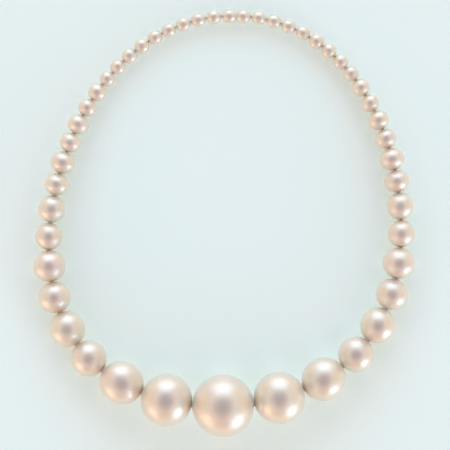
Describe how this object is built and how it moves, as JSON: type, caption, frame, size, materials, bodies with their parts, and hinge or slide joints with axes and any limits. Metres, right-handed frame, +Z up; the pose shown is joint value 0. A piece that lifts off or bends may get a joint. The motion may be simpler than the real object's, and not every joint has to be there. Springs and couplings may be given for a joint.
{
  "type": "pearl necklace",
  "caption": "Closed strand of graduated imitation pearls on one thread, largest at the front, with a magnetic clasp hidden in the pearls at the back.",
  "frame": {"origin": "middle of the strand's box, on the table it lies on", "axes": "+Y from the largest pearl at the front towards the clasp at the back, +Z up from the table, +X to the right as seen from above"},
  "size_m": [0.1322, 0.1478, 0.0218],
  "materials": {
    "pearl_coat": "pearlescent lacquer, cream with a warm rose overtone",
    "silk_thread": "twisted two-ply thread, cream",
    "clasp_metal": "turned, gilt",
    "magnet_nickel": "nickel plated disc magnet",
    "crimp_metal": "gilt, pressed flat"
  },
  "bodies": {
    "back_pearl": {"back_pearl": "pearl_coat", "clasp_cup_left": "clasp_metal", "clasp_magnet_left": "magnet_nickel", "crimp_bead_left": "crimp_metal"},
    "left_pearl_23": {"left_pearl_23": "pearl_coat"},
    "left_pearl_22": {"left_pearl_22": "pearl_coat"},
    "left_pearl_21": {"left_pearl_21": "pearl_coat"},
    "left_pearl_20": {"left_pearl_20": "pearl_coat"},
    "left_pearl_19": {"left_pearl_19": "pearl_coat"},
    "left_pearl_18": {"left_pearl_18": "pearl_coat"},
    "left_pearl_17": {"left_pearl_17": "pearl_coat"},
    "left_pearl_16": {"left_pearl_16": "pearl_coat"},
    "left_pearl_15": {"left_pearl_15": "pearl_coat"},
    "left_pearl_14": {"left_pearl_14": "pearl_coat"},
    "left_pearl_13": {"left_pearl_13": "pearl_coat"},
    "left_pearl_12": {"left_pearl_12": "pearl_coat"},
    "left_pearl_11": {"left_pearl_11": "pearl_coat"},
    "left_pearl_10": {"left_pearl_10": "pearl_coat"},
    "left_pearl_09": {"left_pearl_09": "pearl_coat"},
    "left_pearl_08": {"left_pearl_08": "pearl_coat"},
    "left_pearl_07": {"left_pearl_07": "pearl_coat"},
    "left_pearl_06": {"left_pearl_06": "pearl_coat"},
    "left_pearl_05": {"left_pearl_05": "pearl_coat"},
    "left_pearl_04": {"left_pearl_04": "pearl_coat"},
    "left_pearl_03": {"left_pearl_03": "pearl_coat"},
    "left_pearl_02": {"left_pearl_02": "pearl_coat"},
    "left_pearl_01": {"left_pearl_01": "pearl_coat"},
    "centre_pearl": {"centre_pearl": "pearl_coat", "stringing_thread": "silk_thread"},
    "right_pearl_01": {"right_pearl_01": "pearl_coat"},
    "right_pearl_02": {"right_pearl_02": "pearl_coat"},
    "right_pearl_03": {"right_pearl_03": "pearl_coat"},
    "right_pearl_04": {"right_pearl_04": "pearl_coat"},
    "right_pearl_05": {"right_pearl_05": "pearl_coat"},
    "right_pearl_06": {"right_pearl_06": "pearl_coat"},
    "right_pearl_07": {"right_pearl_07": "pearl_coat"},
    "right_pearl_08": {"right_pearl_08": "pearl_coat"},
    "right_pearl_09": {"right_pearl_09": "pearl_coat"},
    "right_pearl_10": {"right_pearl_10": "pearl_coat"},
    "right_pearl_11": {"right_pearl_11": "pearl_coat"},
    "right_pearl_12": {"right_pearl_12": "pearl_coat"},
    "right_pearl_13": {"right_pearl_13": "pearl_coat"},
    "right_pearl_14": {"right_pearl_14": "pearl_coat"},
    "right_pearl_15": {"right_pearl_15": "pearl_coat"},
    "right_pearl_16": {"right_pearl_16": "pearl_coat"},
    "right_pearl_17": {"right_pearl_17": "pearl_coat"},
    "right_pearl_18": {"right_pearl_18": "pearl_coat"},
    "right_pearl_19": {"right_pearl_19": "pearl_coat"},
    "right_pearl_20": {"right_pearl_20": "pearl_coat"},
    "right_pearl_21": {"right_pearl_21": "pearl_coat"},
    "right_pearl_22": {"right_pearl_22": "pearl_coat"},
    "right_pearl_23": {"right_pearl_23": "pearl_coat", "clasp_cup_right": "clasp_metal", "clasp_magnet_right": "magnet_nickel", "crimp_bead_right": "crimp_metal"}
  },
  "joints": [
    {"name": "left_01_bend", "type": "hinge", "parent": "centre_pearl", "child": "left_pearl_01", "pos_m": [-0.01113, -0.06317, 0.01093], "axis": [0, 0, 1], "range_deg": [0, 27.81], "deforming": ["stringing_thread"]},
    {"name": "left_02_bend", "type": "hinge", "parent": "left_pearl_01", "child": "left_pearl_02", "pos_m": [-0.02845, -0.059, 0.00835], "axis": [0, 0, 1], "range_deg": [0, 28.9], "deforming": ["stringing_thread"]},
    {"name": "left_03_bend", "type": "hinge", "parent": "left_pearl_02", "child": "left_pearl_03", "pos_m": [-0.04218, -0.0514, 0.0069], "axis": [0, 0, 1], "range_deg": [0, 31.19], "deforming": ["stringing_thread"]},
    {"name": "left_04_bend", "type": "hinge", "parent": "left_pearl_03", "child": "left_pearl_04", "pos_m": [-0.05108, -0.04237, 0.00641], "axis": [0, 0, 1], "range_deg": [0, 30.64], "deforming": ["stringing_thread"]},
    {"name": "left_05_bend", "type": "hinge", "parent": "left_pearl_04", "child": "left_pearl_05", "pos_m": [-0.05711, -0.03124, 0.00614], "axis": [0, 0, 1], "range_deg": [0, 25.99], "deforming": ["stringing_thread"]},
    {"name": "left_06_bend", "type": "hinge", "parent": "left_pearl_05", "child": "left_pearl_06", "pos_m": [-0.05992, -0.02058, 0.00596], "axis": [0, 0, 1], "range_deg": [0, 19.37], "deforming": ["stringing_thread"]},
    {"name": "left_07_bend", "type": "hinge", "parent": "left_pearl_06", "child": "left_pearl_07", "pos_m": [-0.06079, -0.00963, 0.00549], "axis": [0, 0, 1], "range_deg": [0, 14.34], "deforming": ["stringing_thread"]},
    {"name": "left_08_bend", "type": "hinge", "parent": "left_pearl_07", "child": "left_pearl_08", "pos_m": [-0.06029, -0.00009, 0.00488], "axis": [0, 0, 1], "range_deg": [0, 11.14], "deforming": ["stringing_thread"]},
    {"name": "left_09_bend", "type": "hinge", "parent": "left_pearl_08", "child": "left_pearl_09", "pos_m": [-0.05881, 0.00937, 0.00472], "axis": [0, 0, 1], "range_deg": [0, 9.17], "deforming": ["stringing_thread"]},
    {"name": "left_10_bend", "type": "hinge", "parent": "left_pearl_09", "child": "left_pearl_10", "pos_m": [-0.05695, 0.01696, 0.00464], "axis": [0, 0, 1], "range_deg": [0, 8], "deforming": ["stringing_thread"]},
    {"name": "left_11_bend", "type": "hinge", "parent": "left_pearl_10", "child": "left_pearl_11", "pos_m": [-0.05455, 0.0244, 0.00431], "axis": [0, 0, 1], "range_deg": [0, 7.73], "deforming": ["stringing_thread"]},
    {"name": "left_12_bend", "type": "hinge", "parent": "left_pearl_11", "child": "left_pearl_12", "pos_m": [-0.05196, 0.0308, 0.00396], "axis": [0, 0, 1], "range_deg": [0, 7.73], "deforming": ["stringing_thread"]},
    {"name": "left_13_bend", "type": "hinge", "parent": "left_pearl_12", "child": "left_pearl_13", "pos_m": [-0.04892, 0.03702, 0.00369], "axis": [0, 0, 1], "range_deg": [0, 8.02], "deforming": ["stringing_thread"]},
    {"name": "left_14_bend", "type": "hinge", "parent": "left_pearl_13", "child": "left_pearl_14", "pos_m": [-0.04576, 0.04242, 0.00344], "axis": [0, 0, 1], "range_deg": [0, 8.36], "deforming": ["stringing_thread"]},
    {"name": "left_15_bend", "type": "hinge", "parent": "left_pearl_14", "child": "left_pearl_15", "pos_m": [-0.04219, 0.04757, 0.00316], "axis": [0, 0, 1], "range_deg": [0, 8.57], "deforming": ["stringing_thread"]},
    {"name": "left_16_bend", "type": "hinge", "parent": "left_pearl_15", "child": "left_pearl_16", "pos_m": [-0.03871, 0.05184, 0.00275], "axis": [0, 0, 1], "range_deg": [0, 8.75], "deforming": ["stringing_thread"]},
    {"name": "left_17_bend", "type": "hinge", "parent": "left_pearl_16", "child": "left_pearl_17", "pos_m": [-0.03489, 0.05582, 0.00275], "axis": [0, 0, 1], "range_deg": [0, 9.4], "deforming": ["stringing_thread"]},
    {"name": "left_18_bend", "type": "hinge", "parent": "left_pearl_17", "child": "left_pearl_18", "pos_m": [-0.03073, 0.05945, 0.00282], "axis": [0, 0, 1], "range_deg": [0, 9.97], "deforming": ["stringing_thread"]},
    {"name": "left_19_bend", "type": "hinge", "parent": "left_pearl_18", "child": "left_pearl_19", "pos_m": [-0.02627, 0.0627, 0.00267], "axis": [0, 0, 1], "range_deg": [0, 10.33], "deforming": ["stringing_thread"]},
    {"name": "left_20_bend", "type": "hinge", "parent": "left_pearl_19", "child": "left_pearl_20", "pos_m": [-0.0216, 0.06545, 0.00245], "axis": [0, 0, 1], "range_deg": [0, 10.6], "deforming": ["stringing_thread"]},
    {"name": "left_21_bend", "type": "hinge", "parent": "left_pearl_20", "child": "left_pearl_21", "pos_m": [-0.01669, 0.06773, 0.00245], "axis": [0, 0, 1], "range_deg": [0, 10.86], "deforming": ["stringing_thread"]},
    {"name": "left_22_bend", "type": "hinge", "parent": "left_pearl_21", "child": "left_pearl_22", "pos_m": [-0.01157, 0.06952, 0.00245], "axis": [0, 0, 1], "range_deg": [0, 11.03], "deforming": ["stringing_thread"]},
    {"name": "left_23_bend", "type": "hinge", "parent": "left_pearl_22", "child": "left_pearl_23", "pos_m": [-0.0063, 0.07078, 0.00245], "axis": [0, 0, 1], "range_deg": [0, 11.17], "deforming": ["stringing_thread"]},
    {"name": "back_bend", "type": "hinge", "parent": "left_pearl_23", "child": "back_pearl", "pos_m": [-0.00093, 0.07149, 0.00245], "axis": [0, 0, 1], "range_deg": [0, 16.36], "deforming": ["stringing_thread"]},
    {"name": "right_01_bend", "type": "hinge", "parent": "centre_pearl", "child": "right_pearl_01", "pos_m": [0.01039, -0.06276, 0.01093], "axis": [0, 0, 1], "range_deg": [-27.56, 0], "deforming": ["stringing_thread"]},
    {"name": "right_02_bend", "type": "hinge", "parent": "right_pearl_01", "child": "right_pearl_02", "pos_m": [0.02754, -0.05797, 0.00835], "axis": [0, 0, 1], "range_deg": [-27.74, 0], "deforming": ["stringing_thread"]},
    {"name": "right_03_bend", "type": "hinge", "parent": "right_pearl_02", "child": "right_pearl_03", "pos_m": [0.04106, -0.05004, 0.0069], "axis": [0, 0, 1], "range_deg": [-28.67, 0], "deforming": ["stringing_thread"]},
    {"name": "right_04_bend", "type": "hinge", "parent": "right_pearl_03", "child": "right_pearl_04", "pos_m": [0.04993, -0.041, 0.00641], "axis": [0, 0, 1], "range_deg": [-27.43, 0], "deforming": ["stringing_thread"]},
    {"name": "right_05_bend", "type": "hinge", "parent": "right_pearl_04", "child": "right_pearl_05", "pos_m": [0.05625, -0.03006, 0.00614], "axis": [0, 0, 1], "range_deg": [-23.51, 0], "deforming": ["stringing_thread"]},
    {"name": "right_06_bend", "type": "hinge", "parent": "right_pearl_05", "child": "right_pearl_06", "pos_m": [0.05959, -0.01956, 0.00596], "axis": [0, 0, 1], "range_deg": [-18.14, 0], "deforming": ["stringing_thread"]},
    {"name": "right_07_bend", "type": "hinge", "parent": "right_pearl_06", "child": "right_pearl_07", "pos_m": [0.06113, -0.00869, 0.00549], "axis": [0, 0, 1], "range_deg": [-13.93, 0], "deforming": ["stringing_thread"]},
    {"name": "right_08_bend", "type": "hinge", "parent": "right_pearl_07", "child": "right_pearl_08", "pos_m": [0.06125, 0.00086, 0.00488], "axis": [0, 0, 1], "range_deg": [-11.18, 0], "deforming": ["stringing_thread"]},
    {"name": "right_09_bend", "type": "hinge", "parent": "right_pearl_08", "child": "right_pearl_09", "pos_m": [0.06039, 0.01039, 0.00472], "axis": [0, 0, 1], "range_deg": [-9.46, 0], "deforming": ["stringing_thread"]},
    {"name": "right_10_bend", "type": "hinge", "parent": "right_pearl_09", "child": "right_pearl_10", "pos_m": [0.05901, 0.01809, 0.00464], "axis": [0, 0, 1], "range_deg": [-8.47, 0], "deforming": ["stringing_thread"]},
    {"name": "right_11_bend", "type": "hinge", "parent": "right_pearl_10", "child": "right_pearl_11", "pos_m": [0.05705, 0.02565, 0.00431], "axis": [0, 0, 1], "range_deg": [-8.36, 0], "deforming": ["stringing_thread"]},
    {"name": "right_12_bend", "type": "hinge", "parent": "right_pearl_11", "child": "right_pearl_12", "pos_m": [0.0548, 0.03219, 0.00396], "axis": [0, 0, 1], "range_deg": [-8.55, 0], "deforming": ["stringing_thread"]},
    {"name": "right_13_bend", "type": "hinge", "parent": "right_pearl_12", "child": "right_pearl_13", "pos_m": [0.05204, 0.03853, 0.00369], "axis": [0, 0, 1], "range_deg": [-9.02, 0], "deforming": ["stringing_thread"]},
    {"name": "right_14_bend", "type": "hinge", "parent": "right_pearl_13", "child": "right_pearl_14", "pos_m": [0.04907, 0.04404, 0.00344], "axis": [0, 0, 1], "range_deg": [-9.54, 0], "deforming": ["stringing_thread"]},
    {"name": "right_15_bend", "type": "hinge", "parent": "right_pearl_14", "child": "right_pearl_15", "pos_m": [0.04563, 0.04928, 0.00316], "axis": [0, 0, 1], "range_deg": [-9.88, 0], "deforming": ["stringing_thread"]},
    {"name": "right_16_bend", "type": "hinge", "parent": "right_pearl_15", "child": "right_pearl_16", "pos_m": [0.0422, 0.05359, 0.00275], "axis": [0, 0, 1], "range_deg": [-10.11, 0], "deforming": ["stringing_thread"]},
    {"name": "right_17_bend", "type": "hinge", "parent": "right_pearl_16", "child": "right_pearl_17", "pos_m": [0.03838, 0.05757, 0.00275], "axis": [0, 0, 1], "range_deg": [-10.84, 0], "deforming": ["stringing_thread"]},
    {"name": "right_18_bend", "type": "hinge", "parent": "right_pearl_17", "child": "right_pearl_18", "pos_m": [0.03418, 0.06115, 0.00282], "axis": [0, 0, 1], "range_deg": [-11.41, 0], "deforming": ["stringing_thread"]},
    {"name": "right_19_bend", "type": "hinge", "parent": "right_pearl_18", "child": "right_pearl_19", "pos_m": [0.02963, 0.06427, 0.00267], "axis": [0, 0, 1], "range_deg": [-11.65, 0], "deforming": ["stringing_thread"]},
    {"name": "right_20_bend", "type": "hinge", "parent": "right_pearl_19", "child": "right_pearl_20", "pos_m": [0.02487, 0.06684, 0.00245], "axis": [0, 0, 1], "range_deg": [-11.74, 0], "deforming": ["stringing_thread"]},
    {"name": "right_21_bend", "type": "hinge", "parent": "right_pearl_20", "child": "right_pearl_21", "pos_m": [0.01984, 0.06888, 0.00245], "axis": [0, 0, 1], "range_deg": [-11.76, 0], "deforming": ["stringing_thread"]},
    {"name": "right_22_bend", "type": "hinge", "parent": "right_pearl_21", "child": "right_pearl_22", "pos_m": [0.01463, 0.07037, 0.00245], "axis": [0, 0, 1], "range_deg": [-11.68, 0], "deforming": ["stringing_thread"]},
    {"name": "right_23_bend", "type": "hinge", "parent": "right_pearl_22", "child": "right_pearl_23", "pos_m": [0.00929, 0.0713, 0.00245], "axis": [0, 0, 1], "range_deg": [-16.61, 0], "deforming": ["stringing_thread"]}
  ]
}
